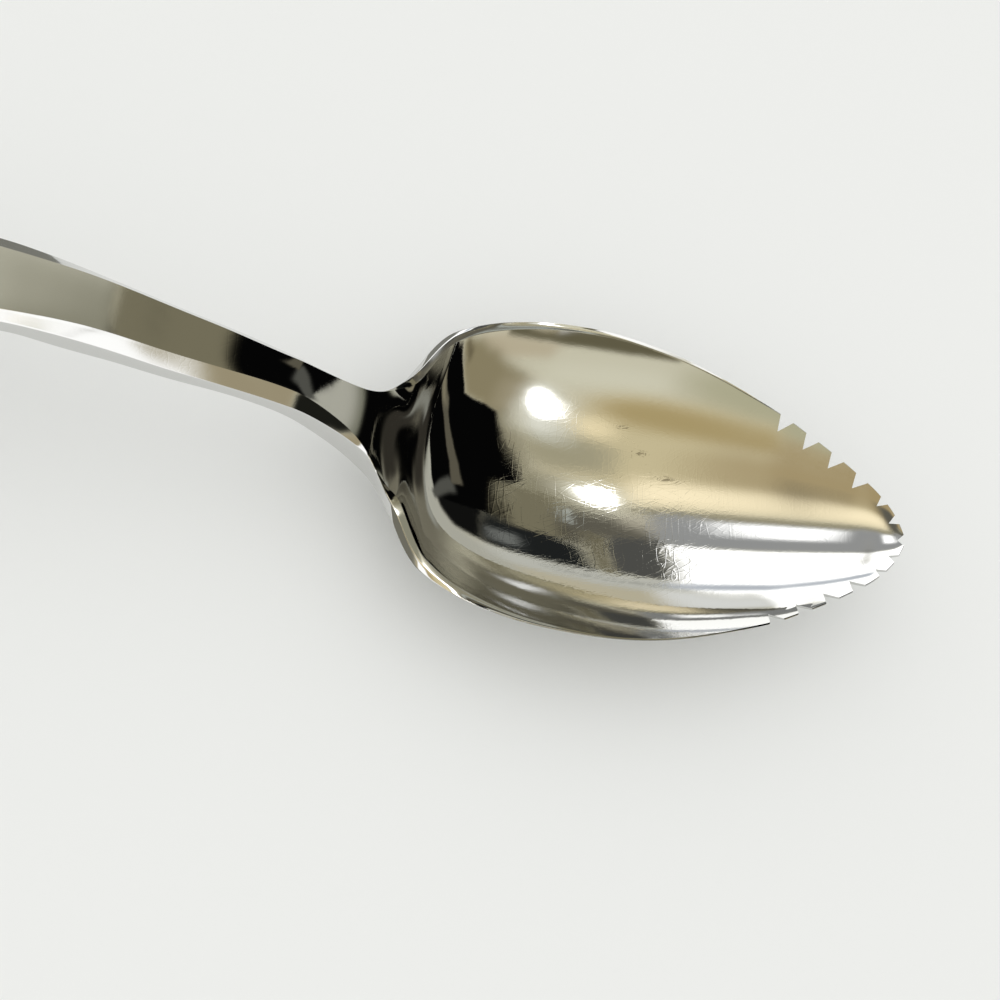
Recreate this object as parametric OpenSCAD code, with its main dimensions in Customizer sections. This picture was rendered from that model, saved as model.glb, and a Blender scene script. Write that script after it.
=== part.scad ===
// Grapefruit spoon pressed from one piece of stainless steel: a pointed bowl with V-notched teeth
// round its tip, a deep narrow neck, and a bevelled handle that arches over the table.
// It lies as it rests, with +X towards the tip, +Z up and the table at z = 0.
// One loft runs the whole length, and the nodes are stretches of it that meet face to face.

/* [Overall] */
// Length from the end of the handle to the tip of the bowl
spoon_length = 160; // [140:1:190]

/* [Bowl] */
// Length of the bowl from its heel to its tip
bowl_length = 52; // [44:1:62]
// Width over the rim where the bowl is widest
bowl_width = 33.4; // [28:0.2:40]
// Depth of the floor under the rim
bowl_depth = 7.6; // [5:0.1:10]
// Fullness of the bowl's cross-section, where 2 is a parabola
bowl_fullness = 2.3; // [2:0.1:3]
// Thickness of the steel at the floor
floor_thickness = 1; // [0.7:0.05:1.6]
// Height that the rim rises towards the tip
tip_rise = 1.7; // [0.5:0.05:4]
// Height that the rim dips at the shoulders
heel_dip = 0.9; // [0:0.05:1.6]
// Depth of the small flat under the bowl that the spoon rests on
rest_flat_depth = 0.06; // [0.03:0.01:0.1]

/* [Rim] */
// Width of the rim's flat at the shoulders
shoulder_land = 1; // [0.6:0.05:1.3]
// Width of the rim's flat at the tip
tip_land = 0.35; // [0.25:0.05:0.5]
// Height that the rim's flat falls from its inner edge to its outer edge
land_drop = 0.26; // [0.1:0.02:0.4]

/* [Teeth] */
// Notches along each side of the tip
side_notches = 6; // [3:1:7]
// Spacing of the notches along the rim
notch_pitch = 3.15; // [2.4:0.05:3.4]
// Depth of a notch, square to the rim
notch_depth = 1.32; // [0.6:0.02:1.7]
// Spacing of the two notches on each side that are nearest to the tip
close_pitch = 2.35; // [2:0.05:3]
// Depth of those notches
close_depth = 0.92; // [0.5:0.02:1.3]
// Depth of the notch at the very tip
tip_notch_depth = 0.6; // [0.3:0.05:0.9]
// Angle between a notch's two walls
notch_angle = 65; // [50:1:80]
// Angle between the walls of the notch at the very tip
tip_notch_angle = 96; // [60:1:110]

/* [Neck] */
// Length of the neck from the handle to the heel of the bowl
neck_length = 20; // [16:1:26]
// Width of the neck where it is narrowest
neck_width = 5.5; // [4:0.1:7]
// Thickness of the neck
neck_thickness = 3.3; // [2.4:0.1:4.4]
// Height of the top edge where the neck begins
neck_start_height = 17.15; // [14:0.05:20]

/* [Handle] */
// Width of the handle where it is widest
handle_width = 18; // [12:0.5:24]
// Width of the handle where the neck begins
handle_root_width = 6.7; // [5:0.1:9]
// Thickness of the handle
handle_thickness = 1.7; // [1.4:0.1:3]
// Height of the top edge at the crown of the arch
arch_height = 19.3; // [15:0.1:24]
// Length of the handle's rounded end
end_length = 14; // [10:0.5:20]
// Width of the bevel along each edge
bevel_width = 1.1; // [0.6:0.05:1.4]
// Height that the bevel falls beside the neck
neck_bevel_drop = 1.25; // [0.6:0.05:1.6]
// Height that the bevel falls along the handle
handle_bevel_drop = 0.25; // [0.15:0.05:0.6]
// Rise of the top face between the bevels
top_crown = 0.12; // [0:0.02:0.3]

/* [Hidden] */

// Places along the spoon
tip_x = spoon_length / 2;
end_x = -tip_x;
heel_x = tip_x - bowl_length;
neck_x = heel_x - neck_length;
round_x = end_x + end_length;

// Heights of the rim over the table
rim_height = floor_thickness + bowl_depth;
shoulder_height = rim_height - heel_dip;

// Points across half of a section, and stations along each stretch
across = 8;
end_stations = 12;
handle_stations = 18;
neck_stations = 16;
bowl_stations = [[0, 0.17, 18], [0.17, 0.72, 20], [0.72, 0.95, 12], [0.95, 1, 8]];

// Tables of shares. The first number of a pair is a share of the stretch's length, counted
// towards the tip, and the second is a share of the size that the table's comment names.
// Top edge of the handle: share of the climb from its end to the crown of the arch
arch_shares = [[0, 0], [0.035, 0.018], [0.09, 0.075], [0.18, 0.2], [0.29, 0.39], [0.4, 0.58],
    [0.51, 0.755], [0.625, 0.895], [0.74, 0.975], [0.84, 1], [0.9, 0.985]];
// Top edge of the neck: share of the fall from its start to the shoulders
fall_shares = [[0, 1], [0.25, 0.889], [0.5, 0.752], [0.64, 0.65], [0.74, 0.545], [0.845, 0.39],
    [0.9, 0.285], [0.95, 0.17], [1, 0.075]];
// Rim beside the shoulders: share of the dip
dip_shares = [[0.04, 1], [0.1, 0.75], [0.19, 0.58], [0.29, 0.32]];
// Rim from the middle of the bowl: share of the rise to the tip
rise_shares = [[0.39, 0.02], [0.5, 0.1], [0.62, 0.26], [0.75, 0.475], [0.87, 0.705], [0.94, 0.86], [1, 1]];
// Outline of the handle: share of the growth from its root to its widest place
handle_outline_shares = [[0, 1], [0.05, 0.985], [0.13, 0.925], [0.25, 0.785], [0.4, 0.585],
    [0.55, 0.385], [0.68, 0.245], [0.79, 0.145], [0.9, 0.055]];
// Outline of the neck: share of its narrowest width
neck_outline_shares = [[0, 1.218], [0.25, 1.12], [0.5, 1.02], [0.64, 0.995], [0.74, 1.03], [0.845, 1.115],
    [0.9, 1.2], [0.95, 1.34]];
// Outline of the bowl: share of its width
bowl_outline_shares = [[0, 0.275], [0.022, 0.38], [0.0375, 0.457], [0.052, 0.541], [0.066, 0.626],
    [0.0815, 0.705], [0.0975, 0.766], [0.12, 0.816], [0.155, 0.873], [0.19, 0.915], [0.23, 0.95],
    [0.29, 0.985], [0.36, 1], [0.42, 0.997], [0.48, 0.977], [0.54, 0.942], [0.6, 0.889],
    [0.66, 0.82], [0.715, 0.748], [0.76, 0.684], [0.81, 0.594], [0.86, 0.497], [0.905, 0.398],
    [0.952, 0.278], [0.981, 0.17], [0.993, 0.105], [1, 0.045]];
// Flat beside the top face, on the neck: share of the bevel's width
neck_flat_shares = [[0.1, 1], [0.6, 0.95], [0.74, 0.76], [0.845, 0.56], [0.9, 0.38], [0.955, 0.1]];
// Flat beside the top face, on the bowl: share of the growth from the tip's land to the shoulders'
land_shares = [[0.005, 0.1], [0.04, 1], [0.16, 1], [0.23, 0.8], [0.35, 0.5], [0.47, 0.24], [0.62, 0.1],
    [1, 0]];
// Fall of the handle's bevel: share of the growth from the handle's to the neck's
handle_bevel_shares = [[0, 0], [0.6, 0], [0.78, 0.02], [0.82, 0.08], [0.85, 0.3], [0.88, 0.62], [0.91, 0.9],
    [0.95, 1]];
// Fall of the neck's bevel: share of its full fall
neck_bevel_shares = [[0.3, 1], [0.64, 1], [0.74, 0.86], [0.845, 0.62], [0.9, 0.42], [0.955, 0.06]];
// Height of the handle's side: share of the growth from the handle's thickness to the neck's
handle_side_shares = [[0, 0], [0.6, 0], [0.8, 0.02], [0.845, 0.14], [0.865, 0.38], [0.885, 0.6],
    [0.91, 0.71], [0.94, 0.66]];
neck_side_shares = [[0, 0.53], [0.3, 0.4], [0.5, 0.6], [0.64, 0.94], [0.74, 1.03], [0.845, 1.08],
    [0.9, 1.03], [0.95, 0.85]];
// Height of the bowl's side by the heel: share of the neck's thickness
heel_side_shares = [[0, 0.66], [0.022, 0.37], [0.04, 0.23], [0.066, 0.12]];
// Depth of the floor under the rim: share of the bowl's depth
floor_shares = [[0.02, 0.05], [0.04, 0.19], [0.06, 0.36], [0.085, 0.56], [0.115, 0.72], [0.15, 0.82],
    [0.2, 0.9], [0.26, 0.95], [0.33, 0.99], [0.39, 1], [0.46, 0.965], [0.54, 0.88], [0.62, 0.758],
    [0.7, 0.614], [0.78, 0.457], [0.86, 0.29], [0.93, 0.141], [0.97, 0.06], [1, 0]];
// Thickness along the middle: share of the excess of the neck over the floor, then of the floor
heel_thickness_shares = [[0, 0.72], [0.03, 0.52], [0.06, 0.36], [0.12, 0.16], [0.19, 0.05], [0.27, 0]];
tip_thickness_shares = [[0.6, 1], [0.85, 0.85], [1, 0.5]];

// Places a table of shares on a stretch that starts at x and runs for a length
function spread(shares, x, length, base, rise) =
    [for (s = shares) [x + s[0] * length, base + s[1] * rise]];

// Smooth curve through points in order of x
function secant(p, i) = (p[i + 1][1] - p[i][1]) / (p[i + 1][0] - p[i][0]);
function tangent(p, i) =
    i == 0 ? secant(p, 0) :
    i == len(p) - 1 ? secant(p, i - 1) :
    let (before = p[i][0] - p[i - 1][0], after = p[i + 1][0] - p[i][0])
    (secant(p, i - 1) * after + secant(p, i) * before) / (before + after);
function curve(p, x, i = 0) =
    i < len(p) - 2 && x > p[i + 1][0] ? curve(p, x, i + 1) :
    let (run = p[i + 1][0] - p[i][0], t = min(max((x - p[i][0]) / run, 0), 1))
    p[i][1] * (1 + 2 * t) * (1 - t) * (1 - t) + run * tangent(p, i) * t * (1 - t) * (1 - t)
    + p[i + 1][1] * (3 - 2 * t) * t * t - run * tangent(p, i + 1) * t * t * (1 - t);

// Lines that run the whole length
top_line = concat(
    spread(arch_shares, end_x, neck_x - end_x, handle_thickness, arch_height - handle_thickness),
    spread(fall_shares, neck_x, neck_length, shoulder_height, neck_start_height - shoulder_height),
    spread(dip_shares, heel_x, bowl_length, rim_height, -heel_dip),
    spread(rise_shares, heel_x, bowl_length, rim_height, tip_rise));
outline = concat(
    spread(handle_outline_shares, round_x, neck_x - round_x, handle_root_width / 2,
        (handle_width - handle_root_width) / 2),
    spread(neck_outline_shares, neck_x, neck_length, 0, neck_width / 2),
    spread(bowl_outline_shares, heel_x, bowl_length, 0, bowl_width / 2));
flat_line = concat(
    spread([[0, 1], [0.95, 1]], end_x, neck_x - end_x, 0, bevel_width),
    spread(neck_flat_shares, neck_x, neck_length, 0, bevel_width),
    spread(land_shares, heel_x, bowl_length, tip_land, shoulder_land - tip_land));
bevel_line = concat(
    spread(handle_bevel_shares, end_x, neck_x - end_x, handle_bevel_drop,
        neck_bevel_drop - handle_bevel_drop),
    spread(neck_bevel_shares, neck_x, neck_length, 0, neck_bevel_drop),
    [[heel_x, land_drop / 4], [tip_x, land_drop / 4]]);
side_line = concat(
    spread(handle_side_shares, end_x, neck_x - end_x, handle_thickness, neck_thickness - handle_thickness),
    spread(neck_side_shares, neck_x, neck_length, handle_thickness, neck_thickness - handle_thickness),
    spread(heel_side_shares, heel_x, bowl_length, 0, neck_thickness),
    spread([[0.1, 1], [1, 1]], heel_x, bowl_length, 0, land_drop));
depth_line = concat(
    [[end_x, -top_crown]],
    spread([[0, 1], [0.85, 1], [0.96, 0.7]], neck_x, neck_length, 0, -top_crown),
    spread(floor_shares, heel_x, bowl_length, 0, bowl_depth));
middle_line = concat(
    spread([[0, 1], [0.9, 1]], neck_x, neck_length, 0, neck_thickness),
    spread(heel_thickness_shares, heel_x, bowl_length, floor_thickness, neck_thickness - floor_thickness),
    spread(tip_thickness_shares, heel_x, bowl_length, 0, floor_thickness));

// Half of the spoon's width, with a rounded end to the handle
end_fullness = 0.992;
function half_width(x) =
    x < round_x ? handle_width / 2 * sqrt(1 - end_fullness * pow((round_x - x) / end_length, 2)) :
    curve(outline, x);
probe = spoon_length / 4000;
function growth(x) =
    (half_width(min(x + probe, tip_x)) - half_width(max(x - probe, end_x)))
    / (min(x + probe, tip_x) - max(x - probe, end_x));

// The flat between the top face and the side, square to the outline and never past half way in
flat_limit_share = 0.55;
function flat_width(x) =
    min(curve(flat_line, x) * sqrt(1 + pow(growth(x), 2)), flat_limit_share * half_width(x));
// Share of the flat that its lower part takes, from the handle's thin draft to the rim's round
draft_shares = [[0.9, 0.04], [1, 0.4]];
function draft(x) = curve(spread(draft_shares, neck_x, neck_length, 0, 1), x);

// The handle's end loses its bevel's fall, so the bevel runs round it
end_fall = [[end_x, handle_bevel_drop], [end_x + bevel_width, handle_bevel_drop / 4],
    [end_x + 2 * bevel_width, 0], [round_x, 0], [tip_x, 0]];

// Height of the underside's middle, flat below the handle and swelling towards the bowl
function swell(x) = let (t = min(max(2 * (x - neck_x) / neck_length - 1, 0), 1)) t * t * (3 - 2 * t);
function underside(x) =
    let (
        side = curve(side_line, x),
        middle = curve(depth_line, x) + curve(middle_line, x) + rest_flat_depth)
    curve(top_line, x) - side - swell(x) * (middle - side);

// One closed section across the spoon: top face, far edge, underside and near edge
function section(x) =
    let (
        outer = half_width(x),
        inner = outer - flat_width(x),
        ridge = outer - draft(x) * flat_width(x),
        fall = curve(end_fall, x),
        top = curve(top_line, x) - fall,
        middle = top - curve(depth_line, x),
        ridge_z = top + fall - max(curve(bevel_line, x), fall),
        side_z = top + fall - curve(side_line, x),
        under_z = underside(x))
    concat(
        [for (j = [-across:across])
            [x, inner * j / across, middle + (top - middle) * pow(abs(j) / across, bowl_fullness)]],
        [[x, ridge, ridge_z]],
        [for (j = [across:-1:-across])
            [x, outer * j / across, under_z + (side_z - under_z) * pow(abs(j) / across, bowl_fullness)]],
        [[x, -ridge, ridge_z]]);

// Solid through the sections at a list of stations
ring = 4 * across + 4;
top_count = 2 * across + 1;
function cap(first) = concat(
    [for (j = [0:top_count - 2]) each [
        [first + j, first + j + 1, first + ring - 3 - j],
        [first + j, first + ring - 3 - j, first + ring - 2 - j]]],
    [[first + top_count - 1, first + top_count, first + top_count + 1],
        [first, first + ring - 2, first + ring - 1]]);
function flip(faces) = [for (f = faces) [f[2], f[1], f[0]]];
module loft(stations) {
    points = [for (x = stations) each section(x)];
    last = len(stations) - 1;
    walls = [for (i = [0:last - 1], j = [0:ring - 1])
        let (a = i * ring + j, b = i * ring + (j + 1) % ring)
        each [[a, b, a + ring], [b, b + ring, a + ring]]];
    polyhedron(points, concat(flip(cap(0)), walls, cap(last * ring)), convexity = 8);
}

// Stations from one place to another
function even(from, to, count) = [for (i = [0:count]) from + (to - from) * i / count];
function rounded(from, to, count) = [for (i = [0:count]) to - (to - from) * cos(90 * i / count)];

// Rim's outline from the tip backwards, as points with their distance along it
path_steps = 120;
path_end = tip_x - bowl_length * 0.6;
rim_points = concat([[tip_x, 0]],
    [for (i = [0:path_steps])
        let (x = tip_x + (path_end - tip_x) * pow(i / path_steps, 2))
        [x, half_width(x)]]);
function lengths(i = 1, total = 0) =
    i == len(rim_points) ? [total] :
    concat([total], lengths(i + 1, total + norm(rim_points[i] - rim_points[i - 1])));
rim_lengths = lengths();
function piece(s, i = 0) = i < len(rim_points) - 2 && s > rim_lengths[i + 1] ? piece(s, i + 1) : i;
function rim_at(s) =
    let (i = piece(s), t = (s - rim_lengths[i]) / (rim_lengths[i + 1] - rim_lengths[i]))
    rim_points[i] + t * (rim_points[i + 1] - rim_points[i]);

// Wedge that cuts one notch, square to the rim at a distance from the tip
function notch_place(k) = k * close_pitch + max(k - 2, 0) * (notch_pitch - close_pitch);
module wedge(depth, angle) {
    reach = 2 * notch_depth;
    translate([-depth, 0, 0])
        linear_extrude(rim_height + 2 * tip_rise)
            polygon([[0, 0], [reach, -reach * tan(angle / 2)], [reach, reach * tan(angle / 2)]]);
}
module notches() {
    translate([tip_x, 0, 0]) wedge(tip_notch_depth, tip_notch_angle);
    for (k = [1:side_notches], side = [0, 1]) {
        s = notch_place(k);
        run = rim_at(s + notch_depth / 2) - rim_at(s - notch_depth / 2);
        mirror([0, side, 0])
            translate(rim_at(s))
                rotate(atan2(run[1], run[0]) - 90)
                    wedge(k > 2 ? notch_depth : close_depth, notch_angle);
    }
}

module bowl() {
    color([0.74, 0.73, 0.7])
        difference() {
            loft([for (b = bowl_stations, i = [0:b[2] - (b[1] < 1 ? 1 : 0)])
                heel_x + bowl_length * (b[0] + (b[1] - b[0]) * i / b[2])]);
            notches();
            translate([heel_x, -bowl_width / 2, -bowl_depth])
                cube([bowl_length, bowl_width, bowl_depth]);
        }
}

module neck() {
    color([0.7, 0.7, 0.69]) loft(even(neck_x, heel_x, neck_stations));
}

module handle() {
    color([0.74, 0.74, 0.73]) loft(even(round_x, neck_x, handle_stations));
}

module handle_end() {
    color([0.7, 0.7, 0.69]) loft(rounded(end_x, round_x, end_stations));
}

bowl();
neck();
handle();
handle_end();
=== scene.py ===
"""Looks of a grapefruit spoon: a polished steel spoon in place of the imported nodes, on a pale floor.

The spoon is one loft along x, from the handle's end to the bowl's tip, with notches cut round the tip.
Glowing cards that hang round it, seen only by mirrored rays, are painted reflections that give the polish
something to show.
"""

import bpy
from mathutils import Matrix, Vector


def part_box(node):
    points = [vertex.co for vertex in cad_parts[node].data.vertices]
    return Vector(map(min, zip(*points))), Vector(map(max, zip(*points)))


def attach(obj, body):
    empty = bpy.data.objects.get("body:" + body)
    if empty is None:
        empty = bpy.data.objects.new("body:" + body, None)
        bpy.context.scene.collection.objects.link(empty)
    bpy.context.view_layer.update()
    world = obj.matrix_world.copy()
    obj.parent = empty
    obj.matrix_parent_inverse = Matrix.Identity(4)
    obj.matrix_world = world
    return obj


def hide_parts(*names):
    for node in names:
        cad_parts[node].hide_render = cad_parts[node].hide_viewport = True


bl_info = {
    "name": "Grapefruit spoon",
    "version": (1, 0, 0),
    "blender": (4, 5, 0),
    "location": "View3D > Sidebar > Spoon",
    "description": "Builds a polished grapefruit spoon, its steel and a studio round it",
    "category": "Add Mesh",
}

import math

import bmesh
import bpy
import numpy as np
from bpy.props import FloatProperty, FloatVectorProperty, IntProperty, PointerProperty
from mathutils import Matrix, Vector

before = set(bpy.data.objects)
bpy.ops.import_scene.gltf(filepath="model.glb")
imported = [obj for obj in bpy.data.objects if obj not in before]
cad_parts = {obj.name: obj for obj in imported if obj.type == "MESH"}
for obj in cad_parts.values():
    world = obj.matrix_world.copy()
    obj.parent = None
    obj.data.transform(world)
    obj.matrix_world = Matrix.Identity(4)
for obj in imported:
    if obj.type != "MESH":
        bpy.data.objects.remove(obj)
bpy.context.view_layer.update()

MM = 0.001
NODES = ("bowl", "neck", "handle", "handle_end")

# Places along the spoon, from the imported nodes
BOX = {node: [Vector(corner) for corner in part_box(node)] for node in NODES}
TIP_X = BOX["bowl"][1].x
HEEL_X = BOX["bowl"][0].x
NECK_X = BOX["neck"][0].x
ROUND_X = BOX["handle"][0].x
END_X = BOX["handle_end"][0].x
BOWL_LENGTH = TIP_X - HEEL_X
NECK_LENGTH = HEEL_X - NECK_X
HANDLE_LENGTH = NECK_X - END_X
END_LENGTH = ROUND_X - END_X
BOWL_HALF = BOX["bowl"][1].y
HANDLE_HALF = BOX["handle"][1].y

# Tables of shares. The first number of a pair is a share of the stretch's length, counted
# towards the tip, and the second is a share of the size that the table's comment names.

# Top edge of the handle: share of the climb from its end to the crown of the arch
ARCH_SHARES = [(0, 0), (0.035, 0.018), (0.09, 0.075), (0.18, 0.2), (0.29, 0.39), (0.4, 0.58),
               (0.51, 0.755), (0.625, 0.895), (0.74, 0.975), (0.84, 1), (0.9, 0.985)]
# Top edge of the neck: share of the fall from its start to the shoulders
FALL_SHARES = [(0, 1), (0.25, 0.889), (0.5, 0.758), (0.56, 0.722), (0.6, 0.687), (0.64, 0.64),
               (0.7, 0.567), (0.76, 0.49), (0.845, 0.372), (0.9, 0.28), (0.95, 0.185), (1, 0.09)]
# Rim beside the shoulders: share of the dip
DIP_SHARES = [(0.04, 1), (0.1, 0.75), (0.19, 0.58), (0.29, 0.32)]
# Rim from the middle of the bowl: share of the rise to the tip
RISE_SHARES = [(0.39, 0.02), (0.5, 0.1), (0.62, 0.26), (0.75, 0.475), (0.87, 0.705), (0.94, 0.86), (1, 1)]
# Outline of the handle: share of the growth from its root to its widest place
HANDLE_OUTLINE_SHARES = [(0, 1), (0.05, 0.985), (0.13, 0.925), (0.25, 0.785), (0.4, 0.585),
                         (0.55, 0.385), (0.68, 0.245), (0.79, 0.145), (0.9, 0.055)]
# Outline of the neck: share of its narrowest width
NECK_OUTLINE_SHARES = [(0, 1.218), (0.25, 1.12), (0.5, 1.02), (0.64, 0.995), (0.74, 1.03),
                       (0.845, 1.115), (0.9, 1.2), (0.95, 1.34)]
# Outline of the bowl: share of its width
BOWL_OUTLINE_SHARES = [(0, 0.275), (0.022, 0.38), (0.0375, 0.457), (0.052, 0.541), (0.066, 0.626),
                       (0.0815, 0.705), (0.0975, 0.766), (0.12, 0.816), (0.155, 0.873), (0.19, 0.915),
                       (0.23, 0.95), (0.29, 0.985), (0.36, 1), (0.42, 0.997), (0.48, 0.977),
                       (0.54, 0.942), (0.6, 0.889), (0.66, 0.82), (0.715, 0.748), (0.76, 0.684),
                       (0.81, 0.594), (0.86, 0.497), (0.905, 0.398), (0.952, 0.278), (0.981, 0.17),
                       (0.993, 0.105), (1, 0.045)]
# Flat beside the top face, on the handle and on the neck: share of the bevel's width
HANDLE_FLAT_SHARES = [(0, 1), (0.95, 1)]
NECK_FLAT_SHARES = [(0.1, 1), (0.6, 0.95), (0.74, 0.76), (0.845, 0.56), (0.9, 0.38), (0.955, 0.1)]
# Flat beside the top face, on the bowl: share of the growth from the tip's land to the shoulders'
LAND_SHARES = [(0.005, 0.1), (0.04, 1), (0.16, 1), (0.23, 0.8), (0.35, 0.5), (0.47, 0.24), (0.62, 0.1),
               (1, 0)]
# Fall of the handle's bevel: share of the growth from the handle's to the neck's
HANDLE_BEVEL_SHARES = [(0, 0), (0.6, 0), (0.78, 0.02), (0.82, 0.08), (0.85, 0.3), (0.88, 0.62),
                       (0.91, 0.9), (0.95, 1)]
# Fall of the neck's bevel: share of its full fall
NECK_BEVEL_SHARES = [(0.3, 1), (0.64, 1), (0.74, 0.86), (0.845, 0.62), (0.9, 0.42), (0.955, 0.06)]
# Height of the handle's side: share of the growth from the handle's thickness to the neck's
HANDLE_SIDE_SHARES = [(0, 0), (0.6, 0), (0.8, 0.02), (0.845, 0.14), (0.865, 0.38), (0.885, 0.6),
                      (0.91, 0.71), (0.94, 0.66)]
NECK_SIDE_SHARES = [(0, 0.53), (0.3, 0.4), (0.5, 0.6), (0.64, 0.94), (0.74, 1.03), (0.845, 1.08),
                    (0.9, 1.03), (0.95, 0.85)]
# Height of the bowl's side by the heel: share of the neck's thickness
HEEL_SIDE_SHARES = [(0, 0.66), (0.022, 0.37), (0.04, 0.23), (0.066, 0.12)]
# Height of the side round the rest of the rim: share of the land's drop
RIM_SIDE_SHARES = [(0.1, 1), (1, 1)]
# Hollow of the neck's top face: share of the handle's
NECK_DEPTH_SHARES = [(0, 1), (0.85, 1), (0.96, 0.7)]
# Depth of the floor under the rim: share of the bowl's depth
FLOOR_SHARES = [(0.02, 0.05), (0.04, 0.19), (0.06, 0.36), (0.085, 0.56), (0.115, 0.72), (0.15, 0.82),
                (0.2, 0.9), (0.26, 0.95), (0.33, 0.99), (0.39, 1), (0.46, 0.965), (0.54, 0.88),
                (0.62, 0.758), (0.7, 0.614), (0.78, 0.457), (0.86, 0.29), (0.93, 0.15), (0.97, 0.078),
                (1, 0)]
# Thickness along the middle: share of the neck's, then of what it has over the floor's, then of
# the floor's
NECK_MIDDLE_SHARES = [(0, 1), (0.9, 1)]
HEEL_THICKNESS_SHARES = [(0, 0.72), (0.03, 0.52), (0.06, 0.36), (0.12, 0.16), (0.19, 0.05), (0.27, 0)]
TIP_THICKNESS_SHARES = [(0.6, 1), (0.85, 0.85), (1, 0.5)]
# Share of the flat that its lower part takes, from the handle's thin draft to the rim's round
DRAFT_SHARES = [(0.9, 0.04), (1, 0.4)]
# Fall of the bevel on the bowl, where it is part of the land: share of the land's drop
LAND_BEVEL_SHARE = 0.25
# Fall of the top face round the handle's end, from the edge inwards: place in bevel widths and share
# of the handle's bevel
END_FALL_SHARES = [(0, 1), (1, 0.25), (2, 0)]


def linear(hex_colour):
    """Turns an sRGB hex colour into linear values."""
    channels = [int(hex_colour[i:i + 2], 16) / 255 for i in (1, 3, 5)]
    return [c / 12.92 if c <= 0.04045 else ((c + 0.055) / 1.055) ** 2.4 for c in channels]


class SpoonShape(bpy.types.PropertyGroup):
    """Sizes of the spoon that its box doesn't give"""

    rim_height: FloatProperty(name="Rim height", description="Height of the rim over the table in mid-bowl",
                              default=8.6 * MM, unit="LENGTH")
    bowl_depth: FloatProperty(name="Bowl depth", description="Depth of the floor under the rim",
                              default=7.6 * MM, unit="LENGTH")
    rest_flat_depth: FloatProperty(name="Rest flat depth", description="Depth of the flat under the bowl",
                                   default=0.06 * MM, unit="LENGTH")
    floor_thickness: FloatProperty(name="Floor thickness", description="Thickness of steel at the floor",
                                   default=1 * MM, unit="LENGTH")
    tip_rise: FloatProperty(name="Tip rise", description="Height that the rim rises towards the tip",
                            default=1.7 * MM, unit="LENGTH")
    heel_dip: FloatProperty(name="Heel dip", description="Height that the rim dips at the shoulders",
                            default=0.9 * MM, unit="LENGTH")
    shoulder_land: FloatProperty(name="Shoulder land",
                                 description="Width of the rim's flat at the shoulders",
                                 default=1 * MM, unit="LENGTH")
    tip_land: FloatProperty(name="Tip land", description="Width of the rim's flat at the tip",
                            default=0.12 * MM, unit="LENGTH")
    land_drop: FloatProperty(name="Land drop", description="Height that the rim's flat falls outwards",
                             default=0.26 * MM, unit="LENGTH")
    neck_width: FloatProperty(name="Neck width", description="Width of the neck where it is narrowest",
                              default=5.5 * MM, unit="LENGTH")
    neck_thickness: FloatProperty(name="Neck thickness", description="Thickness of the neck",
                                  default=3.3 * MM, unit="LENGTH")
    neck_start_height: FloatProperty(name="Neck start height",
                                     description="Height of the neck's top edge where it begins",
                                     default=17.15 * MM, unit="LENGTH")
    handle_root_width: FloatProperty(name="Handle root width",
                                     description="Width of the handle where the neck begins",
                                     default=6.7 * MM, unit="LENGTH")
    handle_thickness: FloatProperty(name="Handle thickness", description="Thickness of the handle",
                                    default=1.7 * MM, unit="LENGTH")
    arch_height: FloatProperty(name="Arch height", description="Height of the top edge at the arch's crown",
                               default=19.3 * MM, unit="LENGTH")
    bevel_width: FloatProperty(name="Bevel width", description="Width of the bevel along each edge",
                               default=1.1 * MM, unit="LENGTH")
    neck_bevel_drop: FloatProperty(name="Neck bevel drop",
                                   description="Height that the bevel falls beside the neck",
                                   default=1.25 * MM, unit="LENGTH")
    handle_bevel_drop: FloatProperty(name="Handle bevel drop",
                                     description="Height that the bevel falls along the handle",
                                     default=0.25 * MM, unit="LENGTH")
    top_crown: FloatProperty(name="Top crown",
                             description="Rise of the handle's top face between the bevels",
                             default=-0.05 * MM, unit="LENGTH")


class SpoonTeeth(bpy.types.PropertyGroup):
    """Sizes of the notches round the bowl's tip"""

    side_notches: IntProperty(name="Side notches", description="Notches along each side of the tip",
                              default=6)
    pitch: FloatProperty(name="Pitch", description="Spacing of the notches along the rim",
                         default=3.15 * MM, unit="LENGTH")
    depth: FloatProperty(name="Depth", description="Depth of a notch, square to the rim",
                         default=1.32 * MM, unit="LENGTH")
    close_pitch: FloatProperty(name="Close pitch", description="Spacing of the notches nearest to the tip",
                               default=2.35 * MM, unit="LENGTH")
    close_depth: FloatProperty(name="Close depth", description="Depth of the notches nearest to the tip",
                               default=0.92 * MM, unit="LENGTH")
    tip_depth: FloatProperty(name="Tip depth", description="Depth of the notch at the very tip",
                             default=0.6 * MM, unit="LENGTH")
    angle: FloatProperty(name="Angle", description="Angle between a notch's walls",
                         default=math.radians(65), unit="ROTATION")
    tip_angle: FloatProperty(name="Tip angle", description="Angle between the walls of the tip's notch",
                             default=math.radians(96), unit="ROTATION")


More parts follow.
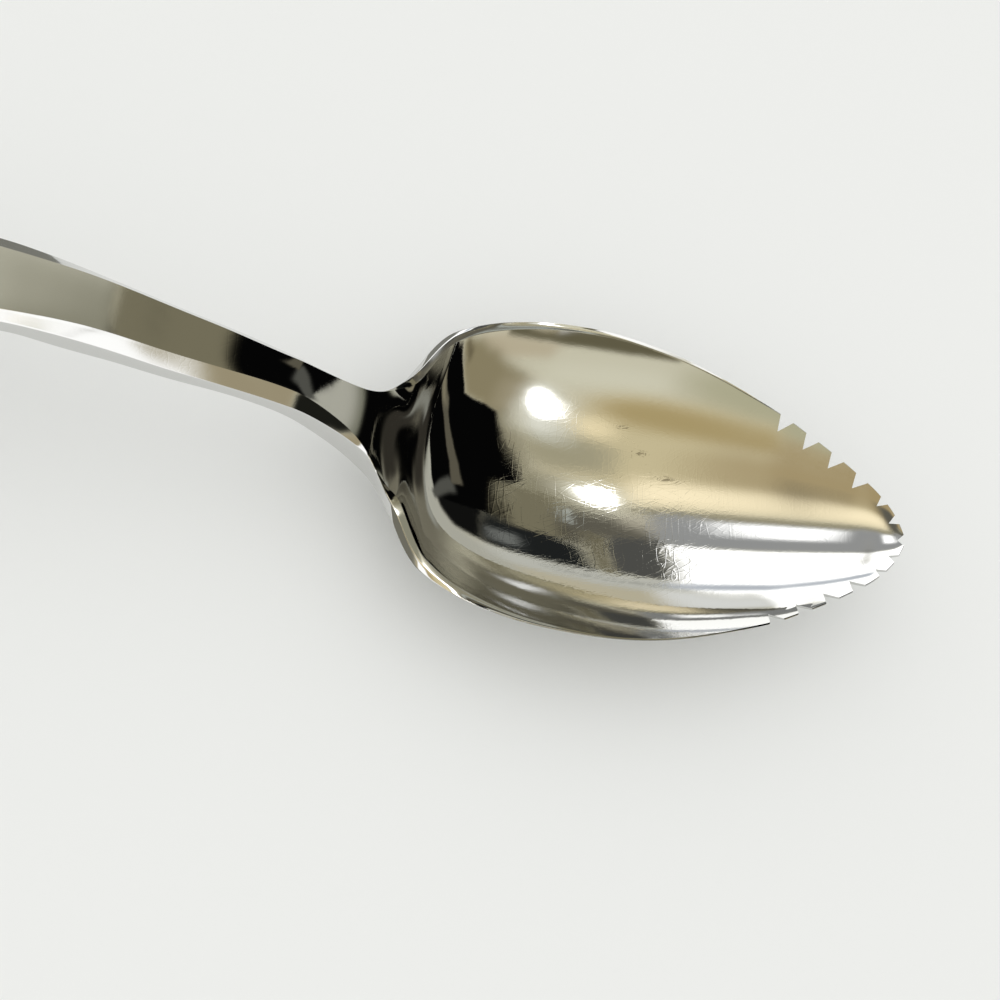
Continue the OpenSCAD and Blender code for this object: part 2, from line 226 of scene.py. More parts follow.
class SpoonFinish(bpy.types.PropertyGroup):
    """Finish of the polished steel"""

    colour: FloatVectorProperty(name="Steel colour", description="Colour of the polished steel",
                                default=linear("#d5d5d3"), min=0, max=1, subtype="COLOR")
    ground_colour: FloatVectorProperty(name="Ground colour",
                                       description="Colour of the notches' ground walls",
                                       default=linear("#62625f"), min=0, max=1, subtype="COLOR")
    polish: FloatProperty(name="Polish", description="Roughness of the mirror polish where it isn't worn",
                          default=0.008, min=0, max=1)
    floor_wear: FloatProperty(name="Floor wear", description="Roughness that use adds on the bowl's floor",
                              default=0.012, min=0, max=1)
    handle_haze: FloatProperty(name="Handle haze",
                               description="Roughness that years of use add along the handle",
                               default=0.1, min=0, max=1)
    smudge_haze: FloatProperty(name="Smudge haze", description="Roughness that smudges add here and there",
                               default=0.025, min=0, max=1)
    smudge_size: FloatProperty(name="Smudge size", description="Width of a smudge",
                               default=7 * MM, unit="LENGTH")
    scratch_depth: FloatProperty(name="Scratch depth", description="Depth of a hairline scratch",
                                 default=0.0011 * MM, unit="LENGTH")
    scratch_spacing: FloatProperty(name="Scratch spacing",
                                   description="Distance between hairline scratches",
                                   default=0.9 * MM, unit="LENGTH")
    scratch_length: FloatProperty(name="Scratch length", description="Length of a hairline scratch",
                                  default=7 * MM, unit="LENGTH")


class StudioLook(bpy.types.PropertyGroup):
    """Floor, light and camera of the studio"""

    floor_colour: FloatVectorProperty(name="Floor colour", description="Colour of the paper on the floor",
                                      default=linear("#eeefec"), min=0, max=1, subtype="COLOR")
    backdrop_colour: FloatVectorProperty(name="Backdrop colour",
                                         description="Colour that the lit floor fades into",
                                         default=linear("#ebece9"), min=0, max=1, subtype="COLOR")
    light_strength: FloatProperty(name="Light", description="Strength of the soft light from all round",
                                  default=1.0, min=0)
    focal_length: FloatProperty(name="Focal length", description="Focal length of the camera's lens",
                                default=72.0, min=1)
    eye: FloatVectorProperty(name="Eye", description="Place of the camera",
                             default=Vector((8.673, -95.5, 169.61)) * MM, unit="LENGTH")
    target: FloatVectorProperty(name="Target", description="Place that the camera looks at",
                                default=Vector((39.994, -4.586, 8.6)) * MM, unit="LENGTH")
    roll: FloatProperty(name="Roll", description="Turn of the camera about its own axis",
                        default=math.radians(29.182), unit="ROTATION")


def spread(shares, start, length, base, rise):
    """Places a table of shares on a stretch that starts at x and runs for a length."""
    return [(start + place * length, base + value * rise) for place, value in shares]


def curve(points, x):
    """Smooth curve through points in order of x, at an array of places."""
    px, py = np.array(points, dtype=float).T
    run = np.diff(px)
    slope = np.diff(py) / run
    inner = (slope[:-1] * run[1:] + slope[1:] * run[:-1]) / (run[:-1] + run[1:])
    tangent = np.concatenate(([slope[0]], inner, [slope[-1]]))
    i = np.clip(np.searchsorted(px, x, side="right") - 1, 0, len(run) - 1)
    t = np.clip((x - px[i]) / run[i], 0, 1)
    return (py[i] * (1 + 2 * t) * (1 - t) ** 2 + run[i] * tangent[i] * t * (1 - t) ** 2
            + py[i + 1] * (3 - 2 * t) * t ** 2 - run[i] * tangent[i + 1] * t ** 2 * (1 - t))


# Grid along the spoon on which its lines are worked out
GRID_STEP = 0.05 * MM
GRID = np.arange(round((TIP_X - END_X) / GRID_STEP) + 1) * GRID_STEP + END_X

# Reach over which each line is softened
SOFT_REACH = {name: reach * MM for name, reach in {
    "top": 0.8, "outline": 0.3, "flat": 0.5, "bevel": 0.5, "side": 0.5, "depth": 0.8,
    "middle": 0.8, "draft": 0.5, "end_fall": 0.3}.items()}
# A bell curve is cut off at this many times its reach
BELL_CUT = 3
# How round the handle's end is in plan, where 1 closes it in a point of an ellipse
END_FULLNESS = 0.992


def soften(values, reach):
    """Averages a line on the grid over a short reach, so that its curvature runs without steps."""
    half = round(BELL_CUT * reach / GRID_STEP)
    weights = np.exp(-0.5 * (np.arange(-half, half + 1) * GRID_STEP / reach) ** 2)
    head = 2 * values[0] - values[half:0:-1]
    tail = 2 * values[-1] - values[-2:-half - 2:-1]
    return np.convolve(np.concatenate((head, values, tail)), weights / weights.sum(), mode="valid")


def spoon_lines(shape):
    """Lines that run the whole length, as values on the grid."""
    shoulder = shape.rim_height - shape.heel_dip
    growth = shape.neck_thickness - shape.handle_thickness
    points = {
        "top": spread(ARCH_SHARES, END_X, HANDLE_LENGTH, shape.handle_thickness,
                      shape.arch_height - shape.handle_thickness)
        + spread(FALL_SHARES, NECK_X, NECK_LENGTH, shoulder, shape.neck_start_height - shoulder)
        + spread(DIP_SHARES, HEEL_X, BOWL_LENGTH, shape.rim_height, -shape.heel_dip)
        + spread(RISE_SHARES, HEEL_X, BOWL_LENGTH, shape.rim_height, shape.tip_rise),
        "outline": spread(HANDLE_OUTLINE_SHARES, ROUND_X, NECK_X - ROUND_X, shape.handle_root_width / 2,
                          HANDLE_HALF - shape.handle_root_width / 2)
        + spread(NECK_OUTLINE_SHARES, NECK_X, NECK_LENGTH, 0, shape.neck_width / 2)
        + spread(BOWL_OUTLINE_SHARES, HEEL_X, BOWL_LENGTH, 0, BOWL_HALF),
        "flat": spread(HANDLE_FLAT_SHARES, END_X, HANDLE_LENGTH, 0, shape.bevel_width)
        + spread(NECK_FLAT_SHARES, NECK_X, NECK_LENGTH, 0, shape.bevel_width)
        + spread(LAND_SHARES, HEEL_X, BOWL_LENGTH, shape.tip_land, shape.shoulder_land - shape.tip_land),
        "bevel": spread(HANDLE_BEVEL_SHARES, END_X, HANDLE_LENGTH, shape.handle_bevel_drop,
                        shape.neck_bevel_drop - shape.handle_bevel_drop)
        + spread(NECK_BEVEL_SHARES, NECK_X, NECK_LENGTH, 0, shape.neck_bevel_drop)
        + [(x, LAND_BEVEL_SHARE * shape.land_drop) for x in (HEEL_X, TIP_X)],
        "side": spread(HANDLE_SIDE_SHARES, END_X, HANDLE_LENGTH, shape.handle_thickness, growth)
        + spread(NECK_SIDE_SHARES, NECK_X, NECK_LENGTH, shape.handle_thickness, growth)
        + spread(HEEL_SIDE_SHARES, HEEL_X, BOWL_LENGTH, 0, shape.neck_thickness)
        + spread(RIM_SIDE_SHARES, HEEL_X, BOWL_LENGTH, 0, shape.land_drop),
        "depth": [(END_X, -shape.top_crown)]
        + spread(NECK_DEPTH_SHARES, NECK_X, NECK_LENGTH, 0, -shape.top_crown)
        + spread(FLOOR_SHARES, HEEL_X, BOWL_LENGTH, 0, shape.bowl_depth),
        "middle": spread(NECK_MIDDLE_SHARES, NECK_X, NECK_LENGTH, 0, shape.neck_thickness)
        + spread(HEEL_THICKNESS_SHARES, HEEL_X, BOWL_LENGTH, shape.floor_thickness,
                 shape.neck_thickness - shape.floor_thickness)
        + spread(TIP_THICKNESS_SHARES, HEEL_X, BOWL_LENGTH, 0, shape.floor_thickness),
        "draft": spread(DRAFT_SHARES, NECK_X, NECK_LENGTH, 0, 1),
        "end_fall": spread(END_FALL_SHARES, END_X, shape.bevel_width, 0, shape.handle_bevel_drop)
        + [(ROUND_X, 0), (TIP_X, 0)],
    }
    lines = {name: soften(curve(line, GRID), SOFT_REACH[name]) for name, line in points.items()}
    rounded = HANDLE_HALF * np.sqrt(1 - END_FULLNESS * np.clip((ROUND_X - GRID) / END_LENGTH, 0, 1) ** 2)
    lines["outline"] = np.where(GRID < ROUND_X, rounded, lines["outline"])
    lines["growth"] = np.gradient(lines["outline"], GRID)
    # The underside is flat under the handle and turns round over the neck's half next to the heel
    swell = np.clip(2 * (GRID - NECK_X) / NECK_LENGTH - 1, 0, 1)
    swell = swell * swell * (3 - 2 * swell)
    middle = lines["depth"] + lines["middle"] + shape.rest_flat_depth
    lines["under"] = lines["top"] - lines["side"] - swell * (middle - lines["side"])
    return lines


# Points of half a section: over the top face, under the spoon and round each corner
TOP_POINTS = 40
UNDER_POINTS = 34
ROUND_POINTS = 4
# Length of leg that rounds the edge's two corners, and the crease where the flat meets the top face
CORNER_REACH = 0.14 * MM
CREASE_REACH = 0.3 * MM
# Most of a leg that one corner takes
LEG_SHARE = 0.45
# Most of the half width that the flat takes
LAND_LIMIT_SHARE = 0.55
# A section rises from its middle by a mix of the square and the fourth power
SQUARE_SHARE = 0.75


def along_leg(at, end, reach):
    """Place on a corner's leg where its rounding starts. On a leg with no length that is the corner."""
    length = np.linalg.norm(end - at)
    return at + (end - at) * (min(reach, LEG_SHARE * length) / max(length, 1e-9))


def corner(before, at, after, reach):
    """Rounds one corner of a section with a short arc between its two legs."""
    first = along_leg(at, before, reach)
    last = along_leg(at, after, reach)
    t = np.linspace(0, 1, ROUND_POINTS)[:, None]
    return (1 - t) ** 2 * first + 2 * t * (1 - t) * at + t ** 2 * last


def section_rise(share):
    """Rise of a section at a share of its half width, flat in the middle and steepest at the edge."""
    return SQUARE_SHARE * share ** 2 + (1 - SQUARE_SHARE) * share ** 4


def half_section(values):
    """Half of a section, from the middle of the top face round the edge to the underside's middle."""
    outer = values["outline"]
    land = min(values["flat"] * math.hypot(1, values["growth"]), LAND_LIMIT_SHARE * outer)
    inner = outer - land
    ridge = outer - values["draft"] * land
    top = values["top"] - values["end_fall"]
    middle = top - values["depth"]
    ridge_z = values["top"] - max(values["bevel"], values["end_fall"])
    side_z = values["top"] - values["side"]
    share = np.sin(np.linspace(0, math.pi / 2, TOP_POINTS))
    face = np.stack([inner * share, middle + (top - middle) * section_rise(share)], 1)
    share = np.sin(np.linspace(math.pi / 2, 0, UNDER_POINTS))
    under_z = np.maximum(values["under"] + (side_z - values["under"]) * section_rise(share), 0)
    under = np.stack([outer * share, under_z], 1)
    crease, edge, foot = face[-1], np.array([ridge, ridge_z]), under[0]
    return np.concatenate([
        face[:-1],
        corner(face[-2], crease, edge, CREASE_REACH),
        corner(crease, edge, foot, CORNER_REACH),
        corner(edge, foot, under[1], CORNER_REACH),
        under[1:]])


# Sections round the handle's end, then places where their spacing changes, each with the number of
# sections up to it: the neck's start, ahead of the heel, past the heel, ahead of the tip and the tip
END_SECTIONS = 50
SECTION_RUNS = ((NECK_X, 150), (HEEL_X - NECK_LENGTH / 4, 50), (HEEL_X + 0.2 * BOWL_LENGTH, 130),
                (HEEL_X + 0.9 * BOWL_LENGTH, 130), (TIP_X, 60))


def stations():
    """Places of the sections, closest where the shape turns fastest."""
    runs = [END_X + END_LENGTH * (1 - np.cos(np.linspace(0, math.pi / 2, END_SECTIONS)))]
    start = ROUND_X
    for stop, count in SECTION_RUNS:
        runs.append(np.linspace(start, stop, count)[1:])
        start = stop
    return np.concatenate(runs)


def mesh_object(name, verts, faces):
    """Makes a smooth-shaded mesh object at the origin."""
    mesh = bpy.data.meshes.new(name)
    mesh.from_pydata([tuple(v) for v in verts], [], faces)
    mesh.shade_smooth()
    obj = bpy.data.objects.new(name, mesh)
    bpy.context.scene.collection.objects.link(obj)
    return obj


def loft(lines):
    """Skin over all sections, closed at both ends."""
    rings = []
    for x in stations():
        values = {name: float(np.interp(x, GRID, line)) for name, line in lines.items()}
        half = half_section(values)
        far = np.column_stack([np.full(len(half), x), half[:, 0], half[:, 1]])
        near = far[-2:0:-1] * (1, -1, 1)
        rings.append(np.concatenate([far, near]))
    count = len(rings[0])
    verts = np.concatenate(rings)
    faces = []
    for i in range(len(rings) - 1):
        for j in range(count):
            a = i * count + j
            b = i * count + (j + 1) % count
            faces.append((a + count, b + count, b, a))
    last = (len(rings) - 1) * count
    faces.append(tuple(range(count)))
    faces.append(tuple(reversed(range(last, last + count))))
    return mesh_object("spoon", verts, faces)


# Share of the bowl, from the tip, whose outline carries notches, and the points along it
TOOTHED_SHARE = 0.6
RIM_POINTS = 2400
# Notches on each side that are close and shallow, next to the tip
CLOSE_NOTCHES = 2
# Heights between which the cutter's wedges stand, below and above the rim
CUTTER_HEIGHTS = (1 * MM, 14 * MM)
# Edges that turn by more than this stay sharp: the notches' and the pressed edges
SHARP_ANGLE = math.radians(32)


def rim_path(lines):
    """Outline from the tip backwards as points, with their distance along it."""
    x = np.linspace(TIP_X, TIP_X - TOOTHED_SHARE * BOWL_LENGTH, RIM_POINTS)
    points = np.column_stack([x, np.interp(x, GRID, lines["outline"])])
    points = np.concatenate([[[TIP_X, 0]], points])
    steps = np.linalg.norm(np.diff(points, axis=0), axis=1)
    return points, np.concatenate([[0], np.cumsum(steps)])


def notch_cutters(lines, teeth):
    """Wedges square to the rim, one for each notch, as one mesh."""
    points, distance = rim_path(lines)
    places = [(Vector((TIP_X, 0)), Vector((1, 0)), teeth.tip_depth, teeth.tip_angle)]
    for k in range(1, teeth.side_notches + 1):
        close = k <= CLOSE_NOTCHES
        s = k * teeth.close_pitch + max(k - CLOSE_NOTCHES, 0) * (teeth.pitch - teeth.close_pitch)
        ends = [Vector([np.interp(s + step * teeth.depth / 2, distance, points[:, c]) for c in (0, 1)])
                for step in (-1, 1)]
        at = Vector([np.interp(s, distance, points[:, c]) for c in (0, 1)])
        run = (ends[1] - ends[0]).normalized()
        out = Vector((run.y, -run.x))
        for side in (1, -1):
            places.append((Vector((at.x, at.y * side)), Vector((out.x, out.y * side)),
                           teeth.close_depth if close else teeth.depth, teeth.angle))
    verts, faces = [], []
    # A wedge is twice as long as a notch is deep, so it reaches well past the rim
    reach = 2 * teeth.depth
    for at, out, depth, angle in places:
        across = Vector((-out.y, out.x))
        root = at - out * depth
        flank = reach * math.tan(angle / 2)
        outline = [root, root + out * reach + across * flank, root + out * reach - across * flank]
        first = len(verts)
        for z in CUTTER_HEIGHTS:
            verts += [(p.x, p.y, z) for p in outline]
        faces += [(first, first + 1, first + 2), (first + 5, first + 4, first + 3)]
        faces += [(first + i, first + 3 + i, first + 3 + (i + 1) % 3, first + (i + 1) % 3)
                  for i in range(3)]
    cutter = mesh_object("notch_cutter", verts, faces)
    mesh = bmesh.new()
    mesh.from_mesh(cutter.data)
    bmesh.ops.recalc_face_normals(mesh, faces=mesh.faces)
    mesh.to_mesh(cutter.data)
    mesh.free()
    return cutter


def cut(obj, cutter):
    """Takes a cutter's wedges out of a piece. The new walls keep the cutter's material."""
    modifier = obj.modifiers.new("notches", "BOOLEAN")
    modifier.operation = "DIFFERENCE"
    modifier.solver = "EXACT"
    modifier.object = cutter
    graph = bpy.context.evaluated_depsgraph_get()
    result = bpy.data.meshes.new_from_object(obj.evaluated_get(graph))
    obj.modifiers.clear()
    obj.data = result
    result.set_sharp_from_angle(angle=SHARP_ANGLE)
    bpy.data.objects.remove(cutter)


def add_node(tree, kind, values=None, links=None, **settings):
    """Adds a node with its settings, socket values and incoming links."""
    node = tree.nodes.new(kind)
    for name, value in settings.items():
        setattr(node, name, value)
    for name, value in (values or {}).items():
        node.inputs[name].default_value = value
    for name, source in (links or {}).items():
        tree.links.new(source, node.inputs[name])
    return node


def new_material(name):
    """Makes a material with an empty node tree."""
    material = bpy.data.materials.new(name)
    material.use_nodes = True
    material.node_tree.nodes.clear()
    return material, material.node_tree


# Directions of the hairline scratches, in degrees from the spoon's length. Each direction's pattern is
# also moved by as many millimetres, so that no two of them start from the same place.
SCRATCH_TURNS = (12, 27, 38, 96, 171)
# Half of a scratch's width as a share of the distance between scratches. Real hairlines are 0.01 to
# 0.03 mm wide, which is too fine to show here, so they're drawn two or three times as wide.
SCRATCH_WIDTH_SHARE = 0.035
# Middle of the bowl's floor, the reach round it that is fully worn, the reach where wear ends, and
# the share of the scratches that the rest of the spoon has
FLOOR_MIDDLE = Vector((HEEL_X + 0.46 * BOWL_LENGTH, 0, MM))
FLOOR_REACH = 5 * MM
WEAR_REACH = 16 * MM
WEAR_ELSEWHERE = 0.12
# Places where the haze that use leaves starts, on the neck, and where it is full, on the handle
HAZE_START = NECK_X + 0.4 * NECK_LENGTH
HAZE_FULL = NECK_X - 0.12 * HANDLE_LENGTH
# Detail and twist of the smudges' noise, and its values where a smudge starts and where it is full
SMUDGE_DETAIL = 4.0
SMUDGE_TWIST = 0.4
SMUDGE_START = 0.48
SMUDGE_FULL = 0.72


def hairlines(tree, place, finish):
    """Height of fine scratches: thin lines, in several directions, where a stretched noise is mid-way."""
    height = None
    for turn in SCRATCH_TURNS:
        stretched = add_node(tree, "ShaderNodeMapping", {
            "Rotation": (0, 0, math.radians(turn)),
            "Scale": (finish.scratch_length, finish.scratch_spacing, finish.scratch_spacing),
            "Location": Vector((turn, turn, 0)) * MM}, {"Vector": place}, vector_type="TEXTURE")
        noise = add_node(tree, "ShaderNodeTexNoise", {"Scale": 1.0, "Detail": 1.0},
                         {"Vector": stretched.outputs[0]})
        offset = add_node(tree, "ShaderNodeMath", {1: 0.5}, {0: noise.outputs[0]}, operation="SUBTRACT")
        gap = add_node(tree, "ShaderNodeMath", links={0: offset.outputs[0]}, operation="ABSOLUTE")
        line = add_node(tree, "ShaderNodeMapRange", {
            "From Min": 0.0, "From Max": SCRATCH_WIDTH_SHARE, "To Min": -1.0, "To Max": 0.0},
            {"Value": gap.outputs[0]})
        if height is None:
            height = line.outputs[0]
        else:
            height = add_node(tree, "ShaderNodeMath", links={0: height, 1: line.outputs[0]}).outputs[0]
    return height


def polished_steel(finish):
    """Stainless steel, forged and mirror polished, after some years of use.

    The polish mirrors all that is round it. Cutting and rinsing leave hairline scratches, most of
    them on the floor of the bowl, and use leaves smudges and a soft haze along the handle.
    """
    material, tree = new_material("mirror_polished_stainless_steel")
    place = add_node(tree, "ShaderNodeTexCoord").outputs["Object"]
    to_floor = add_node(tree, "ShaderNodeVectorMath", {1: FLOOR_MIDDLE}, {0: place}, operation="DISTANCE")
    wear = add_node(tree, "ShaderNodeMapRange", {
        "From Min": FLOOR_REACH, "From Max": WEAR_REACH, "To Min": 1.0, "To Max": WEAR_ELSEWHERE},
        {"Value": to_floor.outputs["Value"]}, interpolation_type="SMOOTHSTEP").outputs[0]
    along = add_node(tree, "ShaderNodeSeparateXYZ", links={"Vector": place}).outputs["X"]
    haze = add_node(tree, "ShaderNodeMapRange", {
        "From Min": HAZE_START, "From Max": HAZE_FULL,
        "To Min": finish.polish, "To Max": finish.polish + finish.handle_haze}, {"Value": along}).outputs[0]
    smudges = add_node(tree, "ShaderNodeTexNoise", {
        "Scale": 1 / finish.smudge_size, "Detail": SMUDGE_DETAIL, "Distortion": SMUDGE_TWIST},
        {"Vector": place}).outputs[0]
    smudge = add_node(tree, "ShaderNodeMapRange", {
        "From Min": SMUDGE_START, "From Max": SMUDGE_FULL, "To Min": 0.0, "To Max": finish.smudge_haze},
        {"Value": smudges}, interpolation_type="SMOOTHSTEP").outputs[0]
    worn = add_node(tree, "ShaderNodeMath", {1: finish.floor_wear}, {0: wear, 2: haze},
                    operation="MULTIPLY_ADD")
    rough = add_node(tree, "ShaderNodeMath", links={0: worn.outputs[0], 1: smudge})
    height = add_node(tree, "ShaderNodeMath", links={0: hairlines(tree, place, finish), 1: wear},
                      operation="MULTIPLY")
    bump = add_node(tree, "ShaderNodeBump", {"Distance": finish.scratch_depth},
                    {"Height": height.outputs[0]})
    shader = add_node(tree, "ShaderNodeBsdfPrincipled",
                      {"Base Color": (*finish.colour, 1), "Metallic": 1.0},
                      {"Roughness": rough.outputs[0], "Normal": bump.outputs[0]})
    add_node(tree, "ShaderNodeOutputMaterial", links={"Surface": shader.outputs[0]})
    return material


# Lines that the grinding wheel's grit leaves. Real ones are some hundredths of a millimetre apart,
# which is too fine to show here, so they're drawn this far apart in height, and this many times as
# long, with this depth and between these two roughnesses.
GRIT_SPACING = 0.12 * MM
GRIT_STRETCH = 5
GRIT_DEPTH = 0.006 * MM
GRIT_ROUGHNESS = (0.25, 0.5)


def ground_steel(finish):
    """Stainless steel as the grinding wheel leaves it in the notches: finely lined, duller and darker."""
    material, tree = new_material("ground_stainless_steel")
    place = add_node(tree, "ShaderNodeTexCoord").outputs["Object"]
    lines = add_node(tree, "ShaderNodeMapping", {"Scale": (1 / GRIT_STRETCH, 1 / GRIT_STRETCH, 1)},
                     {"Vector": place})
    grit = add_node(tree, "ShaderNodeTexNoise", {"Scale": 1 / GRIT_SPACING, "Detail": 2.0},
                    {"Vector": lines.outputs[0]})
    rough = add_node(tree, "ShaderNodeMapRange", {"To Min": GRIT_ROUGHNESS[0], "To Max": GRIT_ROUGHNESS[1]},
                     {"Value": grit.outputs[0]})
    bump = add_node(tree, "ShaderNodeBump", {"Distance": GRIT_DEPTH}, {"Height": grit.outputs[0]})
    shader = add_node(tree, "ShaderNodeBsdfPrincipled",
                      {"Base Color": (*finish.ground_colour, 1), "Metallic": 1.0},
                      {"Roughness": rough.outputs[0], "Normal": bump.outputs[0]})
    add_node(tree, "ShaderNodeOutputMaterial", links={"Surface": shader.outputs[0]})
    return material


class SPOON_OT_body(bpy.types.Operator):
    """Loft the spoon from its handle's end to its tip"""

    bl_idname = "spoon.body"
    bl_label = "Spoon body"

    def execute(self, context):
        lines = spoon_lines(context.scene.spoon_shape)
        finish = context.scene.spoon_finish
        obj = loft(lines)
        obj.data.materials.append(polished_steel(finish))
        cutter = notch_cutters(lines, context.scene.spoon_teeth)
        cutter.data.materials.append(ground_steel(finish))
        cut(obj, cutter)
        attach(obj, "root")
        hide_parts(*NODES)
        return {"FINISHED"}


# Points of a round card's outline
CIRCLE_POINTS = 24


def circle(u, v, half_u, half_v, turn=0):
    """Round outline on the studio's dome, turned by degrees."""
    turn = math.radians(turn)
    outline = []
    for k in range(CIRCLE_POINTS):
        angle = 2 * math.pi * k / CIRCLE_POINTS
        along, across = half_u * math.cos(angle), half_v * math.sin(angle)
        outline.append((u + along * math.cos(turn) - across * math.sin(turn),
                        v + along * math.sin(turn) + across * math.cos(turn)))
    return outline


# Which mirrored rays see a card: all, only those of the first reflection, or only those of a
# reflection of a reflection, as in the tight curve of the heel
ALWAYS, FIRST, AGAIN = range(3)
# Ray depth between a first reflection, which counts 1, and a reflection of it, which counts 2
FIRST_DEPTH = 1.5
